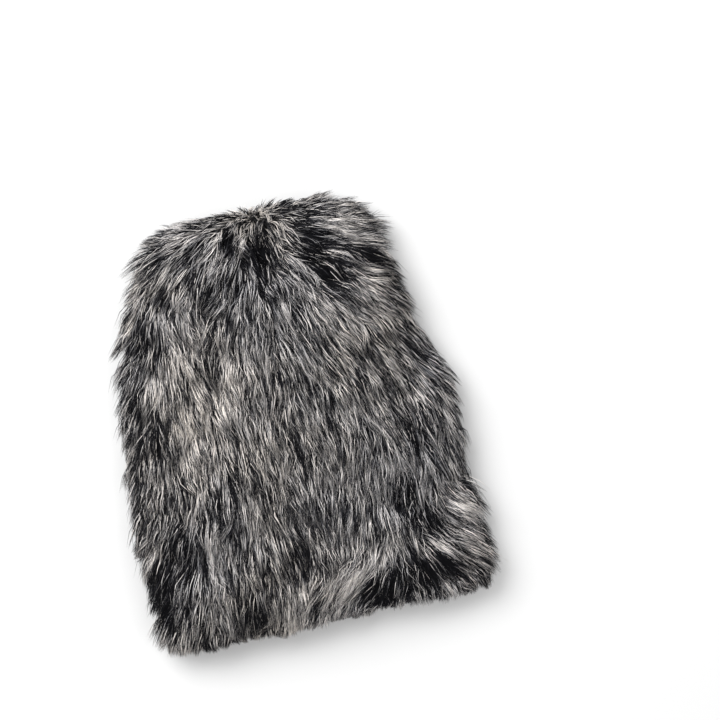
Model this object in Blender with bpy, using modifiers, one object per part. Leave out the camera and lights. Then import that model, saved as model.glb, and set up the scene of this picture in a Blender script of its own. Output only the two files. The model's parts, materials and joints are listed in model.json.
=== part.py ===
"""Slip-on fur windscreen cover, lying flat on its back panel with its mouth towards -Y.

Metres, +Z up. The origin is at the bottom centre of the whole cover. Two panels of fur cloth lie one on the
other with a pocket between them. Side seams, a gathered crown and a turned hem with elastic close the bag.
"""

import math

import bmesh
import bpy
from mathutils import Vector

MM = 0.001
GAP = 0.3 * MM

# Driving dimensions, pile included
LENGTH = 345 * MM
HEM_WIDTH = 282 * MM

# Layers, from the floor up
KNIT_THICKNESS = 1.5 * MM
BACK_KNIT_BOTTOM = 12 * MM
BACK_KNIT_TOP = BACK_KNIT_BOTTOM + KNIT_THICKNESS
FRONT_KNIT_BOTTOM = 27.5 * MM
FRONT_KNIT_TOP = FRONT_KNIT_BOTTOM + KNIT_THICKNESS
POCKET_MIDDLE = (BACK_KNIT_TOP + FRONT_KNIT_BOTTOM) / 2

# Plan
MOUTH_Y = -LENGTH / 2
CROWN_Y = LENGTH / 2
HEM_BAND_DEPTH = 40 * MM
BAND_TOP_Y = MOUTH_Y + HEM_BAND_DEPTH
PILE_OVERHANG = 10 * MM
SIDE_SEAM_INSETS = (2 * MM, 14.5 * MM)
SEAM_START_Y = MOUTH_Y + 14 * MM
SEAM_THREAD_START_Y = MOUTH_Y + 52 * MM
CROWN_START_Y = MOUTH_Y + 0.83 * LENGTH
CROWN_INSETS = (4 * MM, 24 * MM)

# Hem casing and its elastic
CASING_TOP_Y = MOUTH_Y + 32 * MM
CASING_FOLD_Y = MOUTH_Y + 7 * MM
CASING_HALF_WIDTH = 112 * MM
CASING_HEIGHT = 4.5 * MM
LEAF_THICKNESS = 1.2 * MM
ELASTIC_WIDTH = 8 * MM
ELASTIC_THICKNESS = 1 * MM
ELASTIC_Y = MOUTH_Y + 17 * MM
THREAD_DIAMETER = 1.2 * MM

# Half of the outline, from the hem's corner to the crown: shares of the half width and of the length
HALF_OUTLINE = [
    (0.90, 0.000),
    (0.985, 0.018),
    (1.000, 0.065),
    (0.980, 0.320),
    (0.930, 0.570),
    (0.840, 0.765),
    (0.695, 0.915),
    (0.500, 0.982),
    (0.250, 1.000),
]

FUR_GREY = ((0.12, 0.115, 0.12), 0.9)
KNIT_GREY = ((0.10, 0.10, 0.11), 0.95)
THREAD_BLACK = ((0.03, 0.03, 0.035), 0.7)
ELASTIC_BLACK = ((0.05, 0.05, 0.055), 0.6)


def clear_scene():
    for old in list(bpy.data.objects):
        bpy.data.objects.remove(old, do_unlink=True)


def cover_collection():
    parts = bpy.data.collections.new("fur_windscreen")
    bpy.context.scene.collection.children.link(parts)
    return parts


def material(name, colour, roughness):
    made = bpy.data.materials.new(name)
    made.use_nodes = True
    shader = made.node_tree.nodes["Principled BSDF"]
    shader.inputs["Base Color"].default_value = (*colour, 1)
    shader.inputs["Roughness"].default_value = roughness
    shader.inputs["Metallic"].default_value = 0
    made.diffuse_color = (*colour, 1)
    return made


def smooth_through(points, steps):
    """Points of a smooth curve that passes through the given ones."""
    ends = [points[0] * 2 - points[1], *points, points[-1] * 2 - points[-2]]
    curve = []
    for a, b, c, d in zip(ends, ends[1:], ends[2:], ends[3:]):
        for step in range(steps):
            t = step / steps
            curve.append(
                (b * 2 + (c - a) * t + (a * 2 - b * 5 + c * 4 - d) * t**2 + (b * 3 - a - c * 3 + d) * t**3) / 2
            )
    return curve + [points[-1]]


def point_at(line, y):
    """The point where a line that climbs along +Y reaches a height of y."""
    for a, b in zip(line, line[1:]):
        if a.y <= y <= b.y:
            return a.lerp(b, (y - a.y) / (b.y - a.y))
    return line[-1].copy() if y > line[-1].y else line[0].copy()


def right_edge(inset=0.0, low_y=None, high_y=None):
    """The outline's right half from the hem to the crown, moved inwards, cut square where a height of y is given."""
    corners = [Vector((x * HEM_WIDTH / 2, MOUTH_Y + y * LENGTH, 0)) for x, y in HALF_OUTLINE]
    line = smooth_through(corners, 3)
    edge = []
    for i, point in enumerate(line):
        along = line[min(i + 1, len(line) - 1)] - line[max(i - 1, 0)]
        inwards = Vector((-along.y, along.x, 0)).normalized()
        edge.append(point + inwards * inset)
    if low_y is not None:
        edge = [point_at(edge, low_y)] + [p for p in edge if p.y > low_y + 1 * MM]
    if high_y is not None:
        edge = [p for p in edge if p.y < high_y - 1 * MM] + [point_at(edge, high_y)]
    return edge


def mirrored(line):
    return [Vector((-p.x, p.y, p.z)) for p in reversed(line)]


def outline(inset=0.0, low_y=None, high_y=None):
    """The closed outline, moved inwards and cut square at two heights of y where they are given."""
    edge = right_edge(inset, low_y, high_y)
    return edge + mirrored(edge)


def add_object(name, bm, parts, look):
    bmesh.ops.recalc_face_normals(bm, faces=bm.faces)
    mesh = bpy.data.meshes.new(name)
    bm.to_mesh(mesh)
    bm.free()
    made = bpy.data.objects.new(name, mesh)
    made.data.materials.append(look)
    parts.objects.link(made)
    mesh.shade_smooth()
    mesh.set_sharp_from_angle(angle=math.radians(40))
    return made


def flat_face(bm, ring, z):
    return bm.faces.new([bm.verts.new((p.x, p.y, z)) for p in ring])


def plate(name, ring, bottom, top, parts, look):
    """A flat outline with a thickness."""
    bm = bmesh.new()
    face = flat_face(bm, ring, bottom)
    raised = bmesh.ops.extrude_face_region(bm, geom=[face])
    corners = [v for v in raised["geom"] if isinstance(v, bmesh.types.BMVert)]
    bmesh.ops.translate(bm, verts=corners, vec=(0, 0, top - bottom))
    return add_object(name, bm, parts, look)


def pile_solid(name, ring, steps, parts, look):
    """A soft slab: rings of the same outline, each inset from the first and at its own height, and two caps."""
    middle = Vector((0, (max(p.y for p in ring) + min(p.y for p in ring)) / 2, 0))
    reach_x = max(p.x for p in ring)
    reach_y = max(p.y for p in ring) - middle.y
    bm = bmesh.new()
    face = flat_face(bm, ring, steps[0][1])
    edges = list(face.edges)
    done = steps[0][0]
    for inset, z in steps[1:]:
        raised = bmesh.ops.extrude_edge_only(bm, edges=edges)["geom"]
        corners = [v for v in raised if isinstance(v, bmesh.types.BMVert)]
        edges = [e for e in raised if isinstance(e, bmesh.types.BMEdge)]
        shrink = ((reach_x - inset) / (reach_x - done), (reach_y - inset) / (reach_y - done), 1)
        for corner in corners:
            corner.co.z = z
            corner.co.x *= shrink[0]
            corner.co.y = middle.y + (corner.co.y - middle.y) * shrink[1]
        done = inset
    bmesh.ops.holes_fill(bm, edges=edges, sides=0)
    return add_object(name, bm, parts, look)


def rim_strip(name, line, inner_line, parts, look):
    """A strip between two lines, as high as the pocket between the knit panels."""
    ring = line + list(reversed(inner_line))
    return plate(name, ring, BACK_KNIT_TOP + GAP, FRONT_KNIT_BOTTOM - GAP, parts, look)


def tube(name, points, diameter, parts, look, closed=False):
    """A round thread along a line of points."""
    line = bpy.data.curves.new(name, "CURVE")
    line.dimensions = "3D"
    line.bevel_depth = diameter / 2
    line.bevel_resolution = 1
    line.use_fill_caps = not closed
    spline = line.splines.new("POLY")
    spline.points.add(len(points) - 1)
    for place, point in zip(spline.points, points):
        place.co = (*point, 1)
    spline.use_cyclic_u = closed
    made = bpy.data.objects.new(name, line)
    made.data.materials.append(look)
    parts.objects.link(made)
    return made


def fur_layers(parts, look):
    """The pile of both panels, and the fur band round the mouth as its own ridge."""
    top_base = FRONT_KNIT_TOP + GAP
    body_top = [(0, top_base), (0, 33), (3, 40), (9, 46), (20, 50), (40, 53), (75, 54)]
    band_top = [(0, top_base), (0, 32), (2, 38), (6, 43), (12, 46)]
    under_top = BACK_KNIT_BOTTOM - GAP
    underside = [(0, under_top), (0, 7), (3, 3), (8, 0)]
    body = outline(low_y=BAND_TOP_Y + GAP)
    band = outline(high_y=BAND_TOP_Y)
    for name, ring, steps in (
        ("front_pile", body, body_top),
        ("front_hem_band", band, band_top),
        ("back_pile", body, underside),
        ("back_hem_band", band, underside),
    ):
        in_metres = [steps[0]] + [(inset * MM, z * MM) for inset, z in steps[1:]]
        pile_solid(name, ring, in_metres, parts, look)


def knit_panels(parts, look):
    """The ground cloth of both panels, from the top of the hem casing to the crown."""
    ring = outline(PILE_OVERHANG, low_y=CASING_TOP_Y + GAP)
    plate("back_knit_panel", ring, BACK_KNIT_BOTTOM, BACK_KNIT_TOP, parts, look)
    plate("front_knit_panel", ring, FRONT_KNIT_BOTTOM, FRONT_KNIT_TOP, parts, look)


def seams(parts, cloth, thread):
    """The turned-in allowances of both sides, and the thread row on their inner edge."""
    end_y = CROWN_START_Y - GAP
    outer = right_edge(SIDE_SEAM_INSETS[0], SEAM_START_Y, end_y)
    inner = right_edge(SIDE_SEAM_INSETS[1], SEAM_START_Y, end_y)
    rim_strip("right_side_seam", outer, inner, parts, cloth)
    rim_strip("left_side_seam", mirrored(outer), mirrored(inner), parts, cloth)
    row = right_edge(SIDE_SEAM_INSETS[1] + THREAD_DIAMETER / 2 + GAP, SEAM_THREAD_START_Y, end_y - 1 * MM)
    row = [Vector((p.x, p.y, POCKET_MIDDLE)) for p in row]
    tube("right_seam_thread", row, THREAD_DIAMETER, parts, thread)
    tube("left_seam_thread", mirrored(row), THREAD_DIAMETER, parts, thread)


def crown(parts, cloth, thread, knit):
    """The gathered end of the tube, its drawn-up thread ring and the patch behind it."""
    outer = right_edge(CROWN_INSETS[0], CROWN_START_Y)
    inner = right_edge(CROWN_INSETS[1], CROWN_START_Y)
    rim_strip("crown_gather", outer + mirrored(outer), inner + mirrored(inner), parts, cloth)
    ring_y = CROWN_Y - CROWN_INSETS[1] - 3 * MM
    ring = []
    for i in range(28):
        turn = math.tau * i / 28
        ring.append(Vector((15 * MM * math.cos(turn), ring_y, POCKET_MIDDLE + 5 * MM * math.sin(turn))))
    tube("crown_gather_thread", ring, 2 * MM, parts, thread, closed=True)
    patch_y = ring_y - 3 * MM
    bm = bmesh.new()
    bmesh.ops.create_cube(bm, size=1)
    bmesh.ops.scale(bm, vec=(44 * MM, 1.2 * MM, 12 * MM), verts=bm.verts)
    bmesh.ops.translate(bm, vec=(0, patch_y, POCKET_MIDDLE), verts=bm.verts)
    corners = [e for e in bm.edges if abs(e.verts[0].co.y - e.verts[1].co.y) > 0.5 * MM]
    bmesh.ops.bevel(bm, geom=corners, offset=4 * MM, segments=4, affect="EDGES", profile=0.5, material=-1)
    add_object("crown_patch", bm, parts, knit)


def hem_fold(name, outer_z, inwards, parts, look):
    """The hem turned up into a channel: one folded strip, open along its inner edge."""
    half_leaf = LEAF_THICKNESS / 2
    outer_leaf = outer_z + inwards * half_leaf
    inner_leaf = outer_z + inwards * (CASING_HEIGHT - half_leaf)
    radius = abs(outer_leaf - inner_leaf) / 2
    middle = (outer_leaf + inner_leaf) / 2
    profile = [(CASING_TOP_Y, outer_leaf)]
    for i in range(9):
        turn = math.pi * i / 8
        y = CASING_FOLD_Y + radius * (1 - math.sin(turn)) + half_leaf
        profile.append((y, middle - inwards * radius * math.cos(turn)))
    profile.append((CASING_TOP_Y - 3 * MM, inner_leaf))
    bm = bmesh.new()
    corners = [bm.verts.new((-CASING_HALF_WIDTH, y, z)) for y, z in profile]
    edges = [bm.edges.new(pair) for pair in zip(corners, corners[1:])]
    swept = bmesh.ops.extrude_edge_only(bm, edges=edges)["geom"]
    moved = [v for v in swept if isinstance(v, bmesh.types.BMVert)]
    bmesh.ops.translate(bm, verts=moved, vec=(2 * CASING_HALF_WIDTH, 0, 0))
    made = add_object(name, bm, parts, look)
    wall = made.modifiers.new("leaf", "SOLIDIFY")
    wall.thickness = LEAF_THICKNESS
    wall.offset = 0
    return made


def elastic(parts, look):
    """A flat braid that runs through the upper channel, round the mouth's corner and back through the lower."""
    turn_radius = (FRONT_KNIT_TOP - BACK_KNIT_BOTTOM - CASING_HEIGHT) / 2
    straight_end = CASING_HALF_WIDTH + 1.5 * MM
    loop = []
    for side in (1, -1):
        for i in range(9):
            turn = math.pi * (i / 8 - 0.5)
            loop.append((side * (straight_end + turn_radius * math.cos(turn)), side * turn_radius * math.sin(turn)))
    bm = bmesh.new()
    corners = [bm.verts.new((x, ELASTIC_Y - ELASTIC_WIDTH / 2, POCKET_MIDDLE + z)) for x, z in loop]
    edges = [bm.edges.new(pair) for pair in zip(corners, corners[1:] + corners[:1])]
    swept = bmesh.ops.extrude_edge_only(bm, edges=edges)["geom"]
    moved = [v for v in swept if isinstance(v, bmesh.types.BMVert)]
    bmesh.ops.translate(bm, verts=moved, vec=(0, ELASTIC_WIDTH, 0))
    made = add_object("hem_elastic", bm, parts, look)
    wall = made.modifiers.new("braid", "SOLIDIFY")
    wall.thickness = ELASTIC_THICKNESS
    wall.offset = 0


def hem(parts, cloth, thread, braid):
    """The two casings round the mouth, the elastic in them and the thread rows beside their inner leaves."""
    hem_fold("front_hem_casing", FRONT_KNIT_TOP, -1, parts, cloth)
    hem_fold("back_hem_casing", BACK_KNIT_BOTTOM, 1, parts, cloth)
    elastic(parts, braid)
    row_y = CASING_TOP_Y - 3 * MM + GAP + THREAD_DIAMETER / 2
    front_z = FRONT_KNIT_TOP - LEAF_THICKNESS - GAP - THREAD_DIAMETER / 2
    back_z = BACK_KNIT_BOTTOM + LEAF_THICKNESS + GAP + THREAD_DIAMETER / 2
    for name, z in (("front_hem_stitch", front_z), ("back_hem_stitch", back_z)):
        row = [Vector((x * CASING_HALF_WIDTH, row_y, z)) for x in (-0.98, -0.5, 0, 0.5, 0.98)]
        tube(name, row, THREAD_DIAMETER, parts, thread)


def build():
    clear_scene()
    parts = cover_collection()
    fur = material("fur_pile", *FUR_GREY)
    knit = material("knit_backing", *KNIT_GREY)
    thread = material("sewing_thread", *THREAD_BLACK)
    braid = material("elastic_braid", *ELASTIC_BLACK)
    fur_layers(parts, fur)
    knit_panels(parts, knit)
    seams(parts, fur, thread)
    crown(parts, fur, thread, knit)
    hem(parts, knit, thread, braid)


build()
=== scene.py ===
# %% [markdown]
# # A fur windscreen cover, lying flat
# A furry windscreen is a bag of long-pile fur cloth that slips over a microphone's basket
# windshield. Its crown is gathered in pleats, and a hem with elastic in it closes round the
# basket. This one lies flat on its back panel with its mouth towards -Y. The frame below holds
# the cover's plain solids. Every piece made here takes its size and place from them.

# %% Load the frame
import json
import math

import bmesh
import bpy
import numpy as np
from mathutils import Matrix, Vector
from mathutils.kdtree import KDTree

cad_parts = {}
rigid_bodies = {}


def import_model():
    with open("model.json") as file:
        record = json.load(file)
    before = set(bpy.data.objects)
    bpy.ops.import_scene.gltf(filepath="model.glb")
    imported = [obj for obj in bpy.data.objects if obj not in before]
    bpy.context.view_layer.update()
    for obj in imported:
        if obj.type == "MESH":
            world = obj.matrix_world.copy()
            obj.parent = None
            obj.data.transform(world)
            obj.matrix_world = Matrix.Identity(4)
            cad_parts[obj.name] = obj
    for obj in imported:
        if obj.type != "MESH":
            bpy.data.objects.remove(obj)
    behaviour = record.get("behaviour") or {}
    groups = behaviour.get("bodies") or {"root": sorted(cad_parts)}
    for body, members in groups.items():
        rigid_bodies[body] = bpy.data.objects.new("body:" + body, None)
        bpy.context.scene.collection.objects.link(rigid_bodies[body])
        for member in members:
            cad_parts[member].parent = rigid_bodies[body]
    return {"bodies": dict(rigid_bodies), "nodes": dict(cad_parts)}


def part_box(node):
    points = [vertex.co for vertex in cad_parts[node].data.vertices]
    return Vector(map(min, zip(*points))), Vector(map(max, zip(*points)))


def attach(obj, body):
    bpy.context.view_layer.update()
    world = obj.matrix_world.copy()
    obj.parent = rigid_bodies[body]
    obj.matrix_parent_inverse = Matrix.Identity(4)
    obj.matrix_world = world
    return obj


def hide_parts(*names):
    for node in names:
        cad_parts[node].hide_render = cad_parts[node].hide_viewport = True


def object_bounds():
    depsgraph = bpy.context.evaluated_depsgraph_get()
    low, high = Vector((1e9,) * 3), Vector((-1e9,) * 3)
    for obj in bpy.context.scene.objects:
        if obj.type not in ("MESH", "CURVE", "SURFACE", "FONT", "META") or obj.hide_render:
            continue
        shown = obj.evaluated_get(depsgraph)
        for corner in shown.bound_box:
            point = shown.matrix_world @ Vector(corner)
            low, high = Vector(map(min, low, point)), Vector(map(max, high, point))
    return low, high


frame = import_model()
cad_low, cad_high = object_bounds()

MM = 0.001
print("cover, in mm:", [round(side / MM) for side in cad_high - cad_low])

# %% [markdown]
# ## Camera
# The cover is seen from almost straight above, as on a product table, a little turned in the
# frame. A long lens keeps its sides parallel. The camera's axes are written as three vectors,
# because a camera that looks straight down has no safe up direction of its own.

# %% Camera
TURN = math.radians(12.6)
LEAN_BACK = math.radians(5)
FRAME_WIDTH = 576 * MM
LENS_MM = 85

aim = Vector((69, 28, 30)) * MM
frame_up = Vector((math.sin(TURN), math.cos(TURN), 0))
back = Vector((0, 0, math.cos(LEAN_BACK))) - frame_up * math.sin(LEAN_BACK)
right = frame_up.cross(back).normalized()
camera_data = bpy.data.cameras.new("camera")
camera_data.lens = LENS_MM
camera = bpy.data.objects.new("camera", camera_data)
bpy.context.scene.collection.objects.link(camera)
distance = FRAME_WIDTH * LENS_MM / camera_data.sensor_width
axes = Matrix((right, back.cross(right), back)).transposed()
camera.matrix_world = Matrix.Translation(aim + back * distance) @ axes.to_4x4()
bpy.context.scene.camera = camera
print("camera height, in m:", round(camera.location.z, 2))

# %% [markdown]
# ## Table and light
# A pale table and a pale sky give soft light from all round. One large square lamp at the upper
# left adds the soft shadow on the lower right. The plain Standard view keeps whites white, where
# Blender's default would grey them.

# %% Table and light
scene = bpy.context.scene
scene.view_settings.view_transform = "Standard"

world = bpy.data.worlds.new("studio")
scene.world = world
world.use_nodes = True
sky = world.node_tree.nodes["Background"]
sky.inputs["Color"].default_value = (1.0, 1.0, 1.0, 1)
sky.inputs["Strength"].default_value = 0.9


def add_lamp(name, place, size, power):
    data = bpy.data.lights.new(name, "AREA")
    data.size = size
    data.energy = power
    lamp = bpy.data.objects.new(name, data)
    lamp.location = place
    lamp.rotation_mode = "QUATERNION"
    lamp.rotation_quaternion = (place - aim).to_track_quat("Z", "Y")
    scene.collection.objects.link(lamp)


up = Vector((0, 0, 1))
add_lamp("key", aim - right * 0.75 + frame_up * 0.55 + up * 1.25, 1.1, 28)
add_lamp("fill", aim + right * 0.9 - frame_up * 0.6 + up * 1.3, 1.2, 5)

# %% [markdown]
# ## Shader arithmetic
# A procedural material is mostly arithmetic on sockets. The class wraps one socket, so that `1 -
# mask * 0.5` adds the Math nodes that it says. Every other kind of node comes from `Finish.node`.

# %% Shader arithmetic
class Value:
    """A socket that takes part in arithmetic."""

    def __init__(self, finish, socket):
        self.finish = finish
        self.socket = socket

    def math(self, operation, first, second):
        return self.finish.node("ShaderNodeMath", {"operation": operation}, {0: first, 1: second})

    def __add__(self, other):
        return self.math("ADD", self, other)

    def __sub__(self, other):
        return self.math("SUBTRACT", self, other)

    def __rsub__(self, other):
        return self.math("SUBTRACT", other, self)

    def __mul__(self, other):
        return self.math("MULTIPLY", self, other)

    def __pow__(self, other):
        return self.math("POWER", self, other)

    __radd__ = __add__
    __rmul__ = __mul__


class Finish:
    """A material that is built from nodes."""

    def __init__(self, name):
        self.material = bpy.data.materials.new(name)
        self.material.use_nodes = True
        self.tree = self.material.node_tree
        self.shader = self.tree.nodes["Principled BSDF"]

    def node(self, kind, settings=None, inputs=None, output=0):
        made = self.tree.nodes.new(kind)
        for name, value in (settings or {}).items():
            if name == "stops":
                self.set_stops(made.color_ramp, value)
            else:
                setattr(made, name, value)
        for key, value in (inputs or {}).items():
            self.feed(made.inputs[key], value)
        return Value(self, made.outputs[output])

    def set_stops(self, ramp, stops):
        while len(ramp.elements) < len(stops):
            ramp.elements.new(0.5)
        for element, (place, colour) in zip(ramp.elements, stops):
            element.position = place
            element.color = (*colour, 1)

    def feed(self, socket, value):
        if isinstance(value, Value):
            self.tree.links.new(value.socket, socket)
        else:
            socket.default_value = value

    def surface(self, **inputs):
        for name, value in inputs.items():
            self.feed(self.shader.inputs[name.replace("_", " ")], value)
        return self.material

    def blend(self, kind, amount, first, second):
        """Two colours through a Mix node."""
        settings = {"data_type": "RGBA", "blend_type": kind}
        return self.node("ShaderNodeMix", settings, {0: amount, 6: first, 7: second}, output=2)


# %% [markdown]
# ## Table
# The table is one large square with a faint change of tint. It isn't part of the cover.

# %% Table
def table_finish():
    look = Finish("pale_table")
    place = look.node("ShaderNodeTexCoord", output="Object")
    grain = look.node("ShaderNodeTexNoise", inputs={"Vector": place, "Scale": 3.0, "Detail": 2.0})
    tint = look.blend("MIX", grain, (0.61, 0.61, 0.61, 1), (0.63, 0.63, 0.63, 1))
    return look.surface(Base_Color=tint, Roughness=0.75)


bm = bmesh.new()
bmesh.ops.create_grid(bm, x_segments=1, y_segments=1, size=4)
table_mesh = bpy.data.meshes.new("table")
bm.to_mesh(table_mesh)
bm.free()
table_mesh.materials.append(table_finish())
table = bpy.data.objects.new("table", table_mesh)
scene.collection.objects.link(table)
print("table, in m:", [round(side, 1) for side in table.dimensions])

# %% [markdown]
# ## The cloth's shape
# Under its fur the cover is a flat, soft bag. Two functions describe it. `half_width` reads the
# outline from the frame's pile solids. `cloth_point` wraps a flat sheet over it: `across` runs
# from side seam to side seam and `along` from the mouth to the crown. Both panels, the hem and
# every hair root use it, so they all agree.

# %% Size of the bag
def corners_of(node):
    mesh = frame["nodes"][node].data
    places = np.empty(len(mesh.vertices) * 3)
    mesh.vertices.foreach_get("co", places)
    return places.reshape(-1, 3)


SIDE_PILE = 15 * MM
CROWN_PILE = 5 * MM
COMBED_IN_FROM_Y = 90 * MM
COMBED_IN_OVER = 70 * MM
EDGE_TOLERANCE = 0.1 * MM
CROWN_HAIR = 10 * MM
pile_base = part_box("front_pile")[0][2]
edge = np.concatenate([corners_of("front_pile"), corners_of("front_hem_band")])
edge = edge[(edge[:, 0] > 0) & (abs(edge[:, 2] - pile_base) < EDGE_TOLERANCE)]
edge = edge[np.argsort(edge[:, 1])]

mouth_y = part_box("front_hem_casing")[0][1]
crown_y = cad_high.y - CROWN_HAIR
band_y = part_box("front_hem_band")[1][1]
crown_start_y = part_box("crown_gather")[0][1]
middle_z = (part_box("back_knit_panel")[1][2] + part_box("front_knit_panel")[0][2]) / 2
bag_marks = (mouth_y, crown_y, middle_z)
print("bag's mouth, crown and middle height, in mm:", [round(at / MM, 1) for at in bag_marks])


def ease(t):
    t = np.clip(t, 0, 1)
    return t * t * (3 - 2 * t)


def half_width(y):
    """Half the cloth's width: the fur's outline less the pile beyond the cloth's edge."""
    share = (y - mouth_y) / (crown_y - mouth_y)
    outer_y = cad_low.y + share * (cad_high.y - cad_low.y)
    depth = SIDE_PILE + (CROWN_PILE - SIDE_PILE) * ease((y - COMBED_IN_FROM_Y) / COMBED_IN_OVER)
    return np.interp(outer_y, edge[:, 1], edge[:, 0]) - depth


# %% [markdown]
# Cloth and fur are never even, so several steps need a smooth random field. This one puts random
# numbers on a square lattice and blends between them, as a value noise does.

# %% Smooth random field
LATTICE = 64


def drift(x, y, size, seed):
    """A smooth random field from -1 to 1, with bumps of about the given size."""
    lattice = np.random.default_rng(seed).uniform(-1, 1, (LATTICE, LATTICE))
    middle = (LATTICE - 1) / 2
    u, v = x / size + middle, y / size + middle
    i, j = np.floor(u).astype(int), np.floor(v).astype(int)
    s, t = ease(u - i), ease(v - j)
    here_x, next_x = i % LATTICE, (i + 1) % LATTICE
    here_y, next_y = j % LATTICE, (j + 1) % LATTICE
    near = lattice[here_x, here_y] * (1 - s) + lattice[next_x, here_y] * s
    far = lattice[here_x, next_y] * (1 - s) + lattice[next_x, next_y] * s
    return near * (1 - t) + far * t


test_line = np.linspace(-0.1, 0.1, 5)
print("random field along x:", drift(test_line, 0 * test_line, 26 * MM, 6).round(2))

# %% [markdown]
# ## Nap
# Fur cloth has a nap: its hairs lean one way. Here they lean from the crown to the mouth, fan out
# from the gather, and swirl where the cloth has been handled. A comb mark says how far the nap
# leans at one place of the front panel: x and y in mm, then degrees from the mouth's side towards
# +X. The marks are round numbers, and the field between them is a weighted mean.

# %% Nap of the fur
CROWN_MARKS = [(-30, 170, -60), (0, 165, -30), (20, 160, 10), (60, 155, 65), (-60, 160, -70)]
CROWN_MARKS += [(-95, 135, -50), (-70, 130, -5), (-50, 135, -35), (-25, 135, -25), (5, 130, 5)]
CROWN_MARKS += [(30, 130, 35), (45, 145, 50), (75, 125, 60), (95, 110, 55), (-60, 105, 30)]
CROWN_MARKS += [(60, 100, 35)]
BODY_MARKS = [(-110, 90, -40), (-80, 90, 5), (-40, 80, -5), (0, 90, -5), (115, 80, 25)]
BODY_MARKS += [(25, 75, 10), (-115, 45, -20), (-65, 50, 20), (-10, 40, 0), (50, 40, 5)]
BODY_MARKS += [(100, 40, 10), (130, 20, 15), (-125, -15, -15), (-90, -15, 5), (-50, -10, 0)]
BODY_MARKS += [(-10, -25, 5), (30, -20, -5), (85, -5, 5), (-130, -50, -20), (-75, -55, -15)]
BODY_MARKS += [(0, -65, 0), (60, -60, -5), (105, -50, 10)]
HEM_MARKS = [(-125, -90, -45), (-105, -85, -30), (-80, -95, 5), (-20, -100, 0), (30, -95, -10)]
HEM_MARKS += [(80, -95, -5), (115, -95, 45), (100, -115, 50), (135, -115, 10), (110, -135, 50)]
HEM_MARKS += [(-120, -120, -40), (-65, -125, -10), (-35, -125, 0), (10, -145, -30)]
HEM_MARKS += [(40, -140, -55), (-100, -150, -5), (-40, -160, -25), (40, -160, -35)]
HEM_MARKS += [(70, -160, -5), (100, -160, 30), (135, -140, 10)]
COMB_REACH = 18 * MM
FAINT_SHARE = 0.01
FAINT_SPREAD = 9
BACK_FAN = 0.0018
SWIRLS = [(0.12, 24 * MM, 3), (0.15, 8 * MM, 4)]
CROWN_WILDNESS = 1.2


def combed(x, y):
    """How far the front panel's fur leans at a place, from its marks."""
    total = np.full_like(x, 1e-9)
    lean = np.zeros_like(x)
    for mark_x, mark_y, angle in CROWN_MARKS + BODY_MARKS + HEM_MARKS:
        apart = ((x - mark_x * MM) ** 2 + (y - mark_y * MM) ** 2) / COMB_REACH**2
        weight = np.exp(-apart) + FAINT_SHARE * np.exp(-apart / FAINT_SPREAD)
        total += weight
        lean += weight * math.radians(angle)
    return lean / total


def nap_lean(x, y, side):
    """How far the fur leans, with its swirls. The back's nap is plain. The crown's is the wildest."""
    lean = np.where(side > 0, combed(x, y), x / MM * BACK_FAN)
    wild = 1 + CROWN_WILDNESS * ease((y - 70 * MM) / (50 * MM))
    return lean + wild * sum(amount * drift(x, y, size, seed) for amount, size, seed in SWIRLS)


print("nap at the right shoulder:", np.degrees(combed(np.array([0.09]), np.array([0.12]))).round())

# %% [markdown]
# The cloth isn't flat under its fur. It is drawn up in pleats at the gather, it dips and rises
# where it has been handled, and it turns over at the crown. All the shapes are smooth bumps,
# added to the plain bag.

# %% Shape of the cloth
GATHER = (15 * MM, 158 * MM)
PLEAT_DEPTH = 3 * MM
PLEAT_PEAK = 34 * MM
PLEAT_REACH = 36 * MM
PLEAT_COUNT = 13
RELIEF = 6 * MM
RELIEF_SPREAD = 1.5
HEM_RIDGE_Y = band_y - 4 * MM
RIDGE_HEIGHT = 2.5 * MM
RIDGE_REACH = 7 * MM
HEM_GROOVE_Y = band_y - 18 * MM
GROOVE_DEPTH = 3 * MM
GROOVE_REACH = 8 * MM
CROWN_ROUNDING = 22 * MM
FRONT_LOFT = (7 * MM, 9 * MM)
BACK_LOFT = (6 * MM, 6 * MM)
OPENING_RUN = 45 * MM

# Where the outline bulges (above 0) or is tucked in (below 0): side, how far, at which y, reach.
OUTLINE_WAVES = [(1, 6.5, -10, 42), (1, -4.5, 62, 36), (1, -4, -100, 32)]
OUTLINE_WAVES += [(-1, -10, 136, 24), (-1, -6, -138, 30)]
FLAT_RUN = crown_y - CROWN_ROUNDING - mouth_y
PANEL_RUN = FLAT_RUN + CROWN_ROUNDING * math.pi / 2

# Pockets and tufts of the front panel: x, y, size across the nap and along it, strength. The pockets
# are sunk into the cloth and their hairs get painted shade; the tufts are raised and paler.
POCKETS = [(5, 125, 9, 14, 1), (-15, 140, 5, 14, 0.7), (-75, 135, 6, 15, 0.7)]
POCKETS += [(-75, 110, 6, 8, 0.6), (-40, 100, 7, 9, 0.8), (45, 150, 6, 10, 0.8)]
POCKETS += [(50, 120, 9, 12, 1), (60, 100, 7, 10, 1), (95, 110, 6, 15, 1)]
POCKETS += [(115, 85, 5, 10, 0.6), (115, 25, 6, 13, 0.5), (-95, 80, 6, 13, 0.5)]
POCKETS += [(80, -85, 9, 8, 0.9), (90, -110, 8, 12, 1), (95, -30, 5, 18, 0.5)]
POCKETS += [(80, -150, 30, 11, 1), (40, -155, 11, 9, 0.8), (-100, -85, 12, 10, 0.7)]
POCKETS += [(-120, -105, 7, 15, 0.8), (-15, -115, 7, 12, 0.6), (-125, -140, 9, 12, 0.9)]
POCKETS += [(-60, -155, 11, 10, 0.8)]
TUFTS = [(-70, 130, 4, 12, 0.8), (-50, 95, 4, 8, 0.7), (-25, 135, 4, 14, 0.8)]
TUFTS += [(-5, 135, 4, 14, 0.7), (35, 140, 5, 17, 0.8), (75, 135, 4, 28, 0.8)]
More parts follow.
